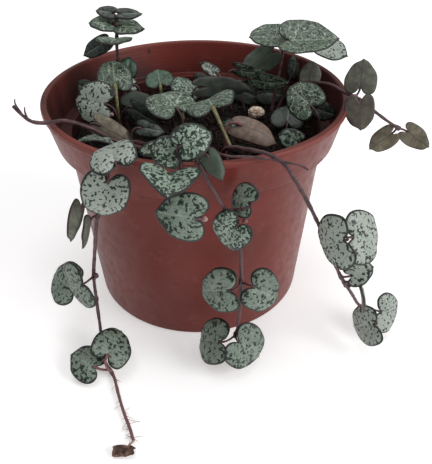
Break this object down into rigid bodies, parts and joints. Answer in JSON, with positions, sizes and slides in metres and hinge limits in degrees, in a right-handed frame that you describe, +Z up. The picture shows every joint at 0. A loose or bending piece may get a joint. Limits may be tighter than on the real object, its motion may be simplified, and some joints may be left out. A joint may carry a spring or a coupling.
{
  "type": "potted_string_of_hearts",
  "caption": "Young string of hearts vine in a round terracotta-coloured plastic nursery pot, mottled silver heart-shaped leaves on purple stems that trail over the rim",
  "frame": {"origin": "centre of the pot's underside", "axes": "+Z up, out of the pot's mouth; -Y to the front, the side most of the stems trail over"},
  "size_m": [0.1516, 0.1648, 0.1146],
  "materials": {
    "pot_plastic": "satin",
    "compost": "matte",
    "pumice": "matte",
    "stem": "satin",
    "leaf": "satin",
    "dried_leaf": "matte"
  },
  "bodies": {
    "root": {"dried_leaf": "dried_leaf", "leaf_back_left_1": "leaf", "leaf_back_left_2": "leaf", "leaf_back_left_3": "leaf", "leaf_back_left_4": "leaf", "leaf_back_left_5": "leaf", "leaf_back_left_6": "leaf", "leaf_back_right_1": "leaf", "leaf_back_right_2": "leaf", "leaf_back_right_3": "leaf", "leaf_centre_1": "leaf", "leaf_centre_2": "leaf", "leaf_centre_3": "leaf", "leaf_centre_4": "leaf", "leaf_centre_5": "leaf", "leaf_centre_6": "leaf", "leaf_cluster_1": "leaf", "leaf_cluster_2": "leaf", "leaf_cluster_3": "leaf", "leaf_cluster_4": "leaf", "leaf_inner_1": "leaf", "leaf_inner_10": "leaf", "leaf_inner_2": "leaf", "leaf_inner_3": "leaf", "leaf_inner_4": "leaf", "leaf_inner_5": "leaf", "leaf_inner_6": "leaf", "leaf_inner_7": "leaf", "leaf_inner_8": "leaf", "leaf_inner_9": "leaf", "leaf_left_1": "leaf", "leaf_left_2": "leaf", "leaf_left_3": "leaf", "leaf_left_4": "leaf", "leaf_left_5": "leaf", "leaf_left_6": "leaf", "leaf_left_7": "leaf", "leaf_left_8": "leaf", "leaf_right_1": "leaf", "leaf_right_2": "leaf", "leaf_right_3": "leaf", "leaf_right_4": "leaf", "leaf_right_front_1": "leaf", "leaf_right_front_2": "leaf", "leaf_right_front_3": "leaf", "leaf_right_front_4": "leaf", "leaf_right_front_5": "leaf", "leaf_right_front_6": "leaf", "leaf_short_1": "leaf", "pot": "pot_plastic", "pumice_lump": "pumice", "runner_left": "stem", "shoot_back_left": "stem", "shoot_back_right": "stem", "soil": "compost", "stem_centre": "stem", "stem_left": "stem", "stem_right": "stem", "stem_right_front": "stem", "stem_short": "stem"}
  },
  "joints": []
}
